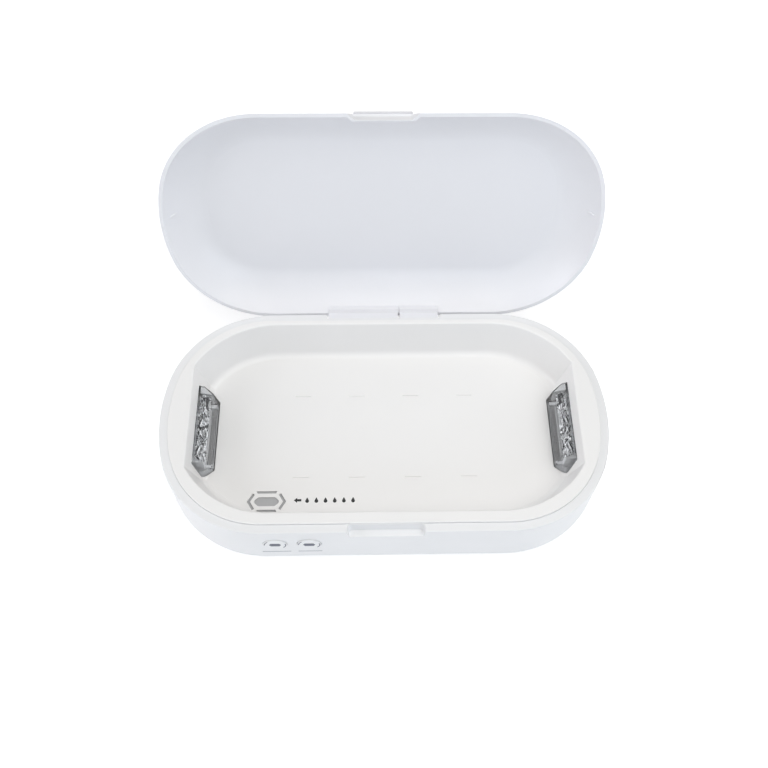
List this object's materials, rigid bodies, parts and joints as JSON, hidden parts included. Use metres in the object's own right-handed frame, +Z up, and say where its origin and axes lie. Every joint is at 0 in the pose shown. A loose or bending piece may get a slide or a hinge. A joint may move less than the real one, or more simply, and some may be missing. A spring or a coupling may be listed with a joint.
{
  "type": "mask sterilizer",
  "caption": "Rounded oblong tabletop mask sterilizer with a hinged domed lid, shallow mask tray, lamp windows at both ends, aroma inlet and two front buttons.",
  "frame": {"origin": "on the flat underside of the bottom cover, under the middle of the case's outline; the feet reach 1.5 mm below it", "axes": "+X to the right along the case's length, +Y from the front buttons to the hinge, +Z up"},
  "size_m": [0.2254, 0.176, 0.1407],
  "materials": {
    "case_white": "semi-gloss moulded plastic",
    "cover_white": "fine satin moulded plastic",
    "tray_white": "semi-gloss moulded plastic",
    "lid_white": "semi-gloss moulded plastic",
    "button_white": "semi-gloss moulded plastic",
    "clear": "clear moulded plastic",
    "housing_white": "moulded plastic",
    "socket_white": "moulded plastic",
    "tube_glass": "quartz glass",
    "reflector": "polished sheet",
    "cup_plastic": "moulded plastic",
    "felt": "grey felt",
    "ceramic": "ceramic disc",
    "circuit_board": "green circuit board",
    "switch_black": "black switch body",
    "component_black": "electronic parts",
    "inverter_case": "wound transformer in a case",
    "socket_metal": "folded plated steel",
    "steel": "plated steel",
    "magnet": "nickel plated magnet",
    "wire": "red insulation",
    "foot_rubber": "soft rubber"
  },
  "bodies": {
    "case": {"base_shell": "case_white", "bottom_cover": "cover_white", "inner_tray": "tray_white", "hinge_pin": "steel", "uv_cover_right": "clear", "uv_cover_left": "clear", "uv_housing_right": "housing_white", "uv_housing_left": "housing_white", "uv_sockets_right": "socket_white", "uv_sockets_left": "socket_white", "uv_tube_right": "tube_glass", "uv_tube_left": "tube_glass", "uv_reflector_right": "reflector", "uv_reflector_left": "reflector", "aroma_cup": "cup_plastic", "aroma_pad": "felt", "aroma_heater": "ceramic", "button_board": "circuit_board", "push_switches": "switch_black", "main_board": "circuit_board", "power_socket": "socket_metal", "lamp_inverter": "inverter_case", "board_parts": "component_black", "lid_sensor": "circuit_board", "lamp_lead_right": "wire", "lamp_lead_left": "wire", "button_lead": "wire", "heater_lead": "wire", "case_screws": "steel", "board_screws": "steel", "foot_back_right": "foot_rubber", "foot_back_left": "foot_rubber", "foot_front_left": "foot_rubber", "foot_front_right": "foot_rubber"},
    "lid": {"lid": "lid_white", "lid_magnet": "magnet"},
    "sterilise_button": {"sterilise_button": "button_white"},
    "aroma_button": {"aroma_button": "button_white"}
  },
  "joints": [
    {"name": "lid_hinge", "type": "hinge", "parent": "case", "child": "lid", "pos_m": [0, 0.0603, 0.02515], "axis": [1, 0, 0], "range_deg": [0, 106.4]},
    {"name": "sterilise_press", "type": "slide", "parent": "case", "child": "sterilise_button", "axis": [0, 1, 0], "range_m": [0, 0.0006], "stiffness_N_per_m": 800, "springref_m": -0.001},
    {"name": "aroma_press", "type": "slide", "parent": "case", "child": "aroma_button", "axis": [0, 1, 0], "range_m": [0, 0.0006], "stiffness_N_per_m": 800, "springref_m": -0.001}
  ]
}
